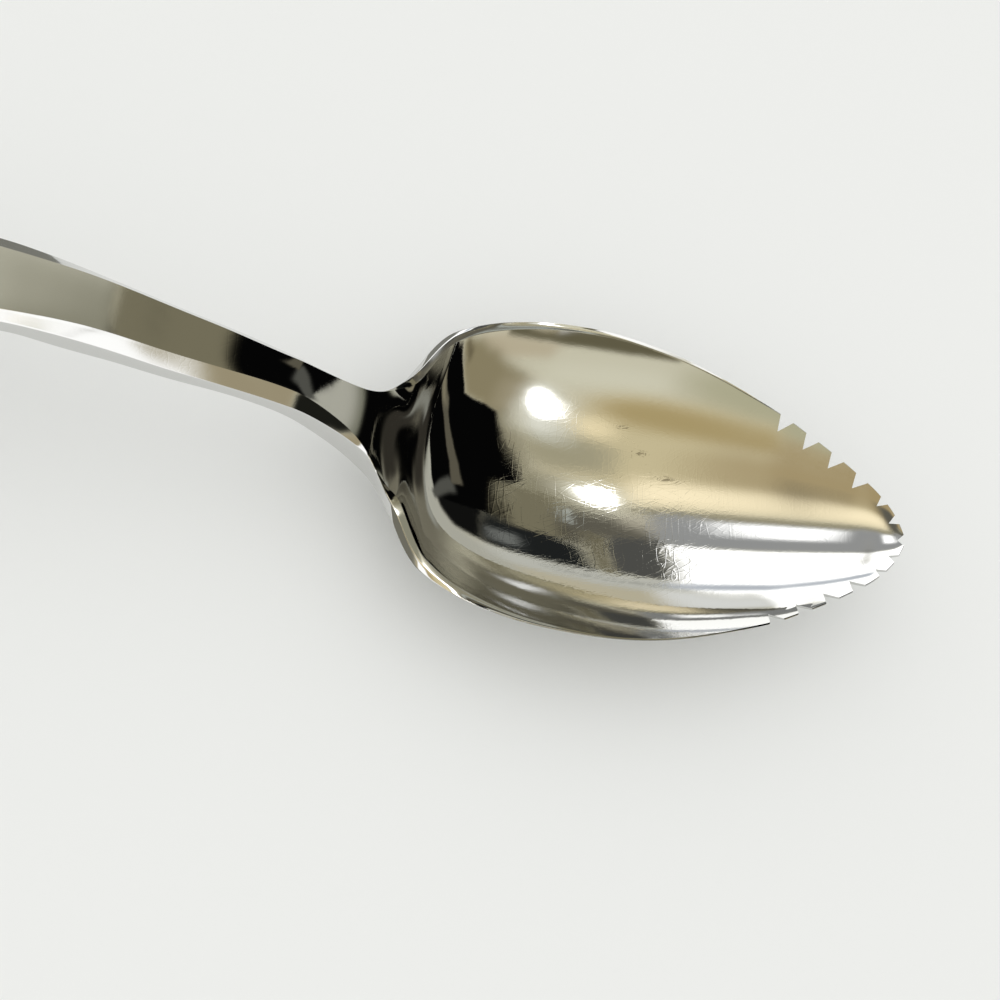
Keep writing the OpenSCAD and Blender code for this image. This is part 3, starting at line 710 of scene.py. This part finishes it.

# Painted reflections: glowing cards that hang round the spoon, seen only by mirrored rays, whose colours
# are what the polished steel shows.
# A place on the studio's dome is two angles in degrees, from straight up towards the tip and towards the
# far side. A card has a name, the rays that see it, its distance in millimetres, the softness of its edge
# in degrees, the colour that the steel shows of it and its outline. The nearest card hides the others.
PAINTED_REFLECTIONS = [
    # Overhead, and low on the near side, which the bowl's far wall shows
    ("overhead", ALWAYS, 1900, 6, "#c2bea9", circle(0, 0, 95, 95)),
    ("south_pale", ALWAYS, 1890, 4, "#cbc8b4", [(-14, -39), (20, -38), (18, -46), (8, -52), (-10, -50)]),
    ("south_far", ALWAYS, 1880, 2, "#b4aa92", [(20, -50), (42, -46), (62, -50), (44, -57), (18, -57)]),
    ("south_west", ALWAYS, 1870, 4, "#a9a68b", [
        (-36, -24), (-24, -26), (-15, -40), (-12, -57), (-40, -60)]),
    # Low on the far side, which the rim's flat and the bowl's near wall show
    ("far_ring", ALWAYS, 1850, 2.5, "#a5a499", [
        (-6, 95), (-6, 62), (18, 62), (28, 56), (38, 49), (47, 42), (54, 35), (60, 28), (74, 15), (90, 10),
        (92, 40), (60, 75), (30, 92)]),
    ("far_olive", ALWAYS, 1840, 3, "#68685a", [
        (68, 34), (66, 52), (52, 80), (96, 80), (100, 20), (74, 22)]),
    ("far_beige", ALWAYS, 1800, 2, "#b1aa94", [(-7, 69), (18, 68), (14, 82), (-7, 82)]),
    ("far_pale_band", ALWAYS, 1780, 1.5, "#b4b4ac", [(-9, 60), (20, 60), (20, 69), (-9, 69)]),
    ("far_line", ALWAYS, 1770, 0.7, "#8f8f88", [(-10, 64), (12, 64), (12, 65), (-10, 65)]),
    # Warm tones in the middle of the bowl and towards its tip
    ("warm_middle", ALWAYS, 1700, 4, "#c3b793", [(-22, -37), (6, -37), (10, -20), (9, 20), (-22, 20)]),
    ("tan_low", ALWAYS, 1680, 3, "#a6956a", [
        (-26, -17), (-10, -20), (4, -24), (6, -34), (-4, -37), (-22, -34)]),
    ("cream_north", ALWAYS, 1635, 2.5, "#fbecc8", [(-21, 9), (-8, 6), (-5, 19), (-20, 20)]),
    ("cream_south", ALWAYS, 1650, 2.5, "#ecdcb4", [(0, -12), (5, -11), (8, -20), (6, -25), (2, -22)]),
    ("west_strip", ALWAYS, 1640, 3, "#a08f6a", [
        (-38, -30), (-26, -30), (-17, -8), (-17, 8), (-24, 22), (-40, 22)]),
    ("west_grey", ALWAYS, 1645, 3, "#6c6a60", [(-95, -60), (-42, -40), (-42, 24), (-95, 30)]),
    ("west_end", ALWAYS, 1630, 1.5, "#5a584f", [
        (-32, -4), (-23, -3), (-20.8, 6), (-20.5, 14), (-21, 20), (-21.5, 25), (-27, 25), (-29, 15),
        (-34, 6)]),
    # Dim tones and white strips that run from the bowl's floor to the near teeth
    ("north_grey", ALWAYS, 1600, 3, "#7d7862", [(3, 22), (5, 12), (16, 10), (17, 40), (3, 42)]),
    ("north_left", ALWAYS, 1595, 2.5, "#aca695", [(-16, 26), (-4, 24), (2, 40), (-12, 38)]),
    ("north_dim", ALWAYS, 1592, 2, "#5a574d", [
        (-11, 33), (-5, 30.5), (-3, 27), (1, 26), (6, 27), (10, 31), (11, 41), (-11, 41)]),
    ("north_line", ALWAYS, 1590, 1.2, "#837d66", [(-24, 22), (-6, 21), (-6, 24), (-24, 25)]),
    ("grey_strip", ALWAYS, 1585, 1, "#8f9090", [
        (-36, 22.5), (-21, 22.5), (-21, 25), (-16, 25), (-14, 22.5), (-10, 24), (-10, 39.3), (-36, 39.3)]),
    ("white_strip", ALWAYS, 1580, 0.8, "#ffffff", [(-20.7, 25.2), (-15.9, 25.2), (-15.7, 32), (-20.7, 32)]),
    ("white_field", ALWAYS, 1560, 0.6, "#ffffff", [
        (-70, 39.3), (-10.6, 39.3), (-10.6, 47), (-9.8, 52), (-8.5, 60), (-8, 76), (-6, 92), (-70, 92)]),
    ("cool_streak", ALWAYS, 1555, 0.9, "#b2b7bf", [
        (-14, 64.5), (-11, 61.7), (-7.5, 62.5), (-6.5, 66.5), (-10, 67.3), (-13, 67)]),
    ("cool_low", ALWAYS, 1552, 1.2, "#d2d3d1", [
        (-8.3, 68.5), (-4.5, 68), (-2.5, 84), (-7.8, 84), (-8.8, 74)]),
    ("north_dark", ALWAYS, 1500, 0.7, "#4b4b48", [
        (-10.5, 36.5), (-2, 38), (0, 42), (0, 59), (-8.5, 60), (-9.8, 52), (-10.6, 47), (-10.6, 40.5)]),
    ("north_gap", ALWAYS, 1490, 1, "#67624f", [(0, 38), (4, 38), (4, 60), (0, 60)]),
    ("north_olive", ALWAYS, 1485, 1.2, "#4c493f", [
        (4, 38), (9, 36), (14, 33), (16.5, 34), (17, 38), (8, 44), (4, 47)]),
    ("north_black", ALWAYS, 1480, 0.9, "#1d1f1f", [
        (4, 48), (8, 43), (13, 39), (17, 36.5), (19, 44), (20, 52), (20, 60), (4, 60)]),
    ("north_pale", ALWAYS, 1470, 1, "#6a6c69", [(14, 48), (19, 49), (19, 57), (14.5, 55)]),
    ("fine_line", ALWAYS, 1465, 0.6, "#b4b9b3", [(5, 27), (6.3, 27), (6.3, 34), (5, 34)]),
    # Shading of the bowl's far wall and of its far rim
    ("shade", ALWAYS, 1462, 2.5, "#9c967d", [(-1, 7), (12, 9), (17, -2), (14, -12), (4, -11), (-1, -7)]),
    ("shade_edge", ALWAYS, 1461, 1.5, "#7f7963", [
        (13, 16), (17, 9), (21, -6), (25, -17), (32, -21), (30, -40), (25, -40), (21, -22), (17, -8),
        (13, 8)]),
    ("pale_streak", ALWAYS, 1460, 1.8, "#bebdae", [(7, -4), (13, -6), (17, -16), (9, -17)]),
    ("south_east", ALWAYS, 1440, 2, "#867d62", [
        (20, -18), (30, -20), (46, -22), (52, -28), (62, -34), (78, -40), (66, -47), (54, -51), (40, -49),
        (28, -43), (21, -35)]),
    ("south_east_left", ALWAYS, 1435, 3, "#999078", [(20, -18), (27, -20), (28, -40), (22, -38)]),
    ("south_east_deep", ALWAYS, 1430, 1.5, "#645c47", [
        (55, -38), (66, -41), (74, -41), (70, -44), (58, -44)]),
    ("south_east_pale", ALWAYS, 1425, 1.5, "#8c8674", [(59, -33), (66, -35), (69, -37), (62, -37)]),
    ("south_band", ALWAYS, 1420, 0.9, "#5f5a46", [
        (-10, -58), (5, -57.5), (30, -56.5), (42, -56.5), (44, -61), (28, -60.5), (20, -63), (16, -66),
        (-10, -67)]),
    ("south_white", ALWAYS, 1410, 1.5, "#ffffff", [
        (-12, -67), (16, -66), (20, -63), (22.5, -61), (22.5, -92), (-12, -92)]),
    ("south_beige", ALWAYS, 1400, 1.5, "#968c73", [(22.5, -61), (33.5, -60), (34.5, -84), (22.5, -84)]),
    ("south_dark", ALWAYS, 1390, 1, "#1a1a16", [(34, -66), (46, -62), (62, -62), (60, -84), (35, -84)]),
    # Painted highlights of two softboxes with their painted glow, and three small dark specks painted into
    # the reflection
    ("painted_highlight_north_glow", FIRST, 1120, 2.6, "#dddac8", circle(0.5, 18, 7, 5.5, -55)),
    ("painted_highlight_south_glow", FIRST, 1115, 2, "#dcdbcf", [
        (8.5, -11), (15, -10), (20, -24), (21, -36), (14, -36), (10, -28)]),
    ("painted_highlight_north", FIRST, 1100, 1.1, "#ffffff", circle(0.3, 18.3, 3.7, 2.7, -55)),
    ("painted_highlight_south", FIRST, 1080, 1.2, "#ffffff", [
        (10.5, -19.5), (14, -18.5), (17.5, -26), (18.8, -33.5), (15, -32.5), (11.6, -27.5)]),
    ("speck_one", ALWAYS, 1060, 0.35, "#6e634b", circle(-1.5, -20.8, 1.3, 0.6, 27)),
    ("speck_two", ALWAYS, 1060, 0.35, "#6e634b", circle(-7.6, -6.7, 1.3, 0.6, 27)),
    ("speck_three", ALWAYS, 1060, 0.35, "#6e634b", circle(-12.7, 6, 1.3, 0.6, 27)),
    # Painted dark reflection beside the heel, and the paler strip inside it
    ("dark_north_east", FIRST, 540, 1, "#10100f", [
        (19, 60), (30, 58), (40, 51), (49, 43), (57, 36.5), (57, 30), (30, 30), (17, 38)]),
    ("dark_east", FIRST, 530, 0.45, "#050505", [
        (14.3, 40), (14.8, 31), (15.4, 26), (14.8, 22), (13.3, 19), (13.6, 16), (15.5, 6), (18.5, -6),
        (23, -17), (30, -20.5), (46, -22.5), (50, -27), (58, -32), (70, -36), (77, -39), (90, -34), (90, 8),
        (80, 10), (73, 21), (63, 29), (57, 36.5), (49, 43), (40, 44)]),
    ("inner_grey", FIRST, 510, 1, "#4d4d48", [
        (30, 36), (35, 38), (47, 48), (53, 45), (45, 35), (37, 29), (33, 31)]),
    ("inner_strip", FIRST, 500, 0.5, "#555145", [
        (26.5, 30), (32, 19), (40, 9), (46, 3), (55, -5), (61, -13), (70, -18), (84, -20), (84, -7),
        (72, -7), (65, -5), (60, -2), (53, 5), (47, 11), (39, 20), (34, 32)]),
    ("inner_strip_end", FIRST, 490, 1.5, "#78725f", [(58, -7), (66, -8), (84, -9), (84, -18), (68, -15)]),
    # Close cards, which the neck and the handle show and the bowl doesn't: painted reflections, with a
    # painted highlight along the bevel
    ("neck_dark", FIRST, 200, 1, "#050505", [
        (69, 48), (69, 38), (71.5, 27), (75.5, 18), (78, 9), (97, 5), (92, 40), (70, 64), (60, 75),
        (66, 56)]),
    ("bevel_white", FIRST, 100, 0.8, "#ffffff", [
        (-42, -2), (-30, -4), (-26, -18), (-22.5, -30), (-19.5, -40), (-15.5, -50), (-14.5, -58), (-7, -62),
        (-5.5, -72), (-9, -86), (-32, -86), (-42, -40)]),
    ("handle_grey", FIRST, 100, 1, "#858373", [(-60, 16), (-10, 16), (-10, 38), (-60, 38)]),
    ("handle_pale", FIRST, 98, 1.5, "#b3b1a1", [
        (-60, 20), (-34, 20), (-22, 23.5), (-12, 25), (-12, 27.5), (-22, 26), (-34, 24.5), (-60, 24)]),
    ("handle_edge", FIRST, 100, 1.5, "#74746e", [
        (-72, 42), (-34, 42), (-26, 70), (-10, 78), (-3, 94), (-68, 94)]),
    ("handle_olive", FIRST, 250, 0.7, "#726d59", [(8, 24), (15.1, 22), (15.2, 36), (15.1, 44), (8, 44)]),
    # Painted reflections that the heel and the bowl's near wall show by way of a second reflection, with
    # one painted highlight
    ("near_olive", AGAIN, 480, 3, "#736f5f", [(3, 22), (20, 20), (22, 62), (6, 62)]),
    ("near_painted_highlight", AGAIN, 475, 1.3, "#ffffff", [
        (7, 20), (10, 20), (14, 27), (13, 33), (10, 34), (7, 26)]),
    ("heel_olive", AGAIN, 470, 4, "#7e7a6b", [(26, -26), (84, -26), (84, 50), (30, 70), (24, 40)]),
    ("heel_line", AGAIN, 465, 1.5, "#a3a39a", [(32, -8), (40, -8), (44, -3), (42, 6), (38, 14), (32, 14)]),
    ("heel_dim", AGAIN, 460, 2, "#37342e", [
        (44, -9), (62, -9), (78, -6), (74, 0), (67, 10), (64, 16), (57, 30), (54, 30), (48, 18), (43.5, 8),
        (45, -3)]),
    ("heel_glint", AGAIN, 458, 1.2, "#8f8f86", [
        (62, -4), (68, -4.5), (73, -5), (80, -7), (78, -1), (70, 0.5), (62, -0.5)]),
    ("heel_black_south", AGAIN, 455, 1.2, "#050505", [
        (34, -21), (52, -18), (66, -16.5), (82, -17), (82, -8), (77, -7), (72, -9), (64, -6), (52, -7),
        (36, -9)]),
    ("heel_black_north", AGAIN, 450, 1.2, "#050505", [
        (62, 8), (69, 6), (70, 20), (66, 46), (57, 46), (58, 30), (60, 18)]),
]

# How many times brighter than white a card is: the painted highlights and the white painted reflections.
# The other cards are as bright as their colours.
GAINS = {"painted_highlight_north": 6, "painted_highlight_south": 6, "white_field": 1.4, "white_strip": 1.4}

# Middle of the dome, over the bowl's floor
DOME_CENTRE = Vector((45, 0, 8)) * MM
# Finest and coarsest spacing of a card's points in degrees, and the fade below which it has none
CARD_STEPS = (0.35, 2)
FADE_END = 0.004


def dome_points(u, v, distance):
    """Places on the studio's dome at arrays of angles in degrees. Straight up, both angles are 0."""
    from_top = np.hypot(u, v)
    angle = np.radians(from_top)
    flat = np.sin(angle) / np.maximum(from_top, 1e-6)
    return np.stack([u * flat, v * flat, np.cos(angle)], -1) * distance + np.array(DOME_CENTRE)


def inside(outline, u, v):
    """Tells which places of a grid lie inside an outline."""
    hit = np.zeros(u.shape, dtype=bool)
    for (u0, v0), (u1, v1) in zip(outline, outline[1:] + outline[:1]):
        if v0 != v1:
            hit ^= ((v0 > v) != (v1 > v)) & (u < u0 + (v - v0) / (v1 - v0) * (u1 - u0))
    return hit


def blur(mask, reach):
    """Blurs a grid over a reach counted in its own steps."""
    half = math.ceil(BELL_CUT * reach)
    weights = np.exp(-0.5 * (np.arange(-half, half + 1) / reach) ** 2)
    weights /= weights.sum()
    for axis in (0, 1):
        mask = np.apply_along_axis(np.convolve, axis, mask, weights, mode="same")
    return mask


def painted_reflection_material(name, seen, colour, strength):
    """Glowing card, a painted reflection, which gives the steel one plain colour with a soft edge to
    mirror.

    It is clear for the rays that don't see it, and it lights nothing.
    """
    material, tree = new_material("painted_reflection_" + name)
    fade = add_node(tree, "ShaderNodeAttribute", attribute_name="fade").outputs["Fac"]
    if seen != ALWAYS:
        depth = add_node(tree, "ShaderNodeLightPath").outputs["Glossy Depth"]
        chosen = add_node(tree, "ShaderNodeMath", {1: FIRST_DEPTH}, {0: depth},
                          operation="LESS_THAN" if seen == FIRST else "GREATER_THAN")
        fade = add_node(tree, "ShaderNodeMath", links={0: fade, 1: chosen.outputs[0]},
                        operation="MULTIPLY").outputs[0]
    clear = add_node(tree, "ShaderNodeBsdfTransparent")
    glow = add_node(tree, "ShaderNodeEmission", {"Color": (*linear(colour), 1), "Strength": strength})
    mix = add_node(tree, "ShaderNodeMixShader", links={
        "Fac": fade, 1: clear.outputs[0], 2: glow.outputs[0]})
    add_node(tree, "ShaderNodeOutputMaterial", links={"Surface": mix.outputs[0]})
    material.cycles.emission_sampling = "NONE"
    return material


def card(name, seen, distance, softness, colour, outline, strength):
    """One painted reflection card with a soft edge, which only surfaces that mirror see."""
    step = min(max(softness / 2, CARD_STEPS[0]), CARD_STEPS[1])
    low = np.min(outline, axis=0) - BELL_CUT * softness
    high = np.max(outline, axis=0) + BELL_CUT * softness
    u, v = np.meshgrid(*(np.arange(low[k], high[k] + step, step) for k in (0, 1)), indexing="ij")
    fade = blur(inside(outline, u, v).astype(float), softness / step)
    rows, columns = fade.shape
    shown = fade > FADE_END
    corners = np.arange(rows - 1)[:, None] * columns + np.arange(columns - 1)
    keep = shown[:-1, :-1] | shown[1:, :-1] | shown[:-1, 1:] | shown[1:, 1:]
    first = corners[keep]
    faces = np.stack([first, first + columns, first + columns + 1, first + 1], -1)
    places = dome_points(u, v, distance).reshape(-1, 3)
    obj = mesh_object("painted_reflection_" + name, places.tolist(), faces.tolist())
    obj.data.attributes.new("fade", "FLOAT", "POINT").data.foreach_set("value", fade.ravel())
    obj.data.materials.append(painted_reflection_material(name, seen, colour, strength))
    obj.visible_camera = False
    obj.visible_diffuse = False
    obj.visible_shadow = False
    obj.visible_transmission = False


class SPOON_OT_cards(bpy.types.Operator):
    """Hang the glowing cards, painted reflections that the polished steel mirrors"""

    bl_idname = "spoon.cards"
    bl_label = "Cards"

    def execute(self, context):
        # The steel takes a little of the light, which the cards' painted glow makes up for
        strength = 1 / context.scene.spoon_finish.colour[1]
        for name, seen, distance, softness, colour, outline in PAINTED_REFLECTIONS:
            card(name, seen, distance * MM, softness, colour, outline,
                 strength * GAINS.get(name, 1))
        return {"FINISHED"}


# Distance between clumps of the paper's fibres, and how far they stand out of it
FIBRE_SPACING = 1.2 * MM
FIBRE_HEIGHT = 0.01 * MM


def white_paper(colour):
    """Matt white paper, whose fibres make it a little uneven and scatter light softly."""
    material, tree = new_material("matt_white_paper")
    place = add_node(tree, "ShaderNodeTexCoord").outputs["Object"]
    fibres = add_node(tree, "ShaderNodeTexNoise", {"Scale": 1 / FIBRE_SPACING, "Detail": 3.0},
                      {"Vector": place})
    bump = add_node(tree, "ShaderNodeBump", {"Strength": 0.3, "Distance": FIBRE_HEIGHT},
                    {"Height": fibres.outputs[0]})
    shader = add_node(tree, "ShaderNodeBsdfPrincipled",
                      {"Base Color": (*colour, 1), "Roughness": 0.9, "Specular IOR Level": 0.2},
                      {"Normal": bump.outputs[0]})
    add_node(tree, "ShaderNodeOutputMaterial", links={"Surface": shader.outputs[0]})
    return material


def soft_light(studio):
    """Even light from all round. The camera and what mirrors or transmits see the backdrop instead."""
    world = bpy.data.worlds.new("studio")
    world.use_nodes = True
    tree = world.node_tree
    tree.nodes.clear()
    path = add_node(tree, "ShaderNodeLightPath").outputs
    seen = add_node(tree, "ShaderNodeMath", links={0: path["Is Camera Ray"], 1: path["Is Glossy Ray"]},
                    operation="MAXIMUM")
    seen = add_node(tree, "ShaderNodeMath", links={0: seen.outputs[0], 1: path["Is Transmission Ray"]},
                    operation="MAXIMUM")
    light = add_node(tree, "ShaderNodeBackground", {
        "Color": (1, 1, 1, 1), "Strength": studio.light_strength})
    backdrop = add_node(tree, "ShaderNodeBackground", {"Color": (*studio.backdrop_colour, 1)})
    mix = add_node(tree, "ShaderNodeMixShader", links={
        "Fac": seen.outputs[0], 1: light.outputs[0], 2: backdrop.outputs[0]})
    add_node(tree, "ShaderNodeOutputWorld", links={"Surface": mix.outputs[0]})
    return world


# Half of the floor's side in metres, far more than any view shows
FLOOR_HALF = 2


class SPOON_OT_studio(bpy.types.Operator):
    """Set the floor, the light and the camera"""

    bl_idname = "spoon.studio"
    bl_label = "Studio"

    def execute(self, context):
        scene = context.scene
        studio = scene.spoon_studio
        floor = mesh_object("floor", [(x * FLOOR_HALF, y * FLOOR_HALF, 0) for x, y in (
            (-1, -1), (1, -1), (1, 1), (-1, 1))], [(0, 1, 2, 3)])
        floor.data.materials.append(white_paper(studio.floor_colour))
        scene.world = soft_light(studio)
        camera_data = bpy.data.cameras.new("camera")
        camera_data.lens = studio.focal_length
        camera_data.clip_start = 10 * MM
        camera = bpy.data.objects.new("camera", camera_data)
        eye = Vector(studio.eye)
        turn = (Vector(studio.target) - eye).to_track_quat("-Z", "Y").to_matrix().to_4x4()
        camera.matrix_world = Matrix.Translation(eye) @ turn @ Matrix.Rotation(studio.roll, 4, "Z")
        scene.collection.objects.link(camera)
        scene.camera = camera
        scene.view_settings.view_transform = "Standard"
        return {"FINISHED"}


class SPOON_PT_panel(bpy.types.Panel):
    """Lists the spoon's sizes and steps"""

    bl_label = "Grapefruit spoon"
    bl_idname = "SPOON_PT_panel"
    bl_space_type = "VIEW_3D"
    bl_region_type = "UI"
    bl_category = "Spoon"

    def draw(self, context):
        for operator, group in STEPS:
            box = self.layout.box()
            box.operator(operator.bl_idname)
            for name in group:
                sizes = getattr(context.scene, name)
                for key in sizes.bl_rna.properties.keys():
                    if key not in ("rna_type", "name"):
                        box.prop(sizes, key)


# Each step with the groups of values that it uses
STEPS = ((SPOON_OT_body, ("spoon_shape", "spoon_teeth", "spoon_finish")), (SPOON_OT_cards, ()),
         (SPOON_OT_studio, ("spoon_studio",)))
GROUPS = {"spoon_shape": SpoonShape, "spoon_teeth": SpoonTeeth, "spoon_finish": SpoonFinish,
          "spoon_studio": StudioLook}
CLASSES = (*GROUPS.values(), SPOON_OT_body, SPOON_OT_cards, SPOON_OT_studio, SPOON_PT_panel)


def register():
    """Makes the classes known and gives the scene their groups of values."""
    for cls in CLASSES:
        bpy.utils.register_class(cls)
    for name, group in GROUPS.items():
        setattr(bpy.types.Scene, name, PointerProperty(type=group))


def unregister():
    """Takes the groups of values and the classes away again."""
    for name in GROUPS:
        delattr(bpy.types.Scene, name)
    for cls in reversed(CLASSES):
        bpy.utils.unregister_class(cls)


def main():
    """Builds the spoon and its studio."""
    register()
    bpy.ops.spoon.body()
    bpy.ops.spoon.cards()
    bpy.ops.spoon.studio()


if __name__ == "__main__":
    main()
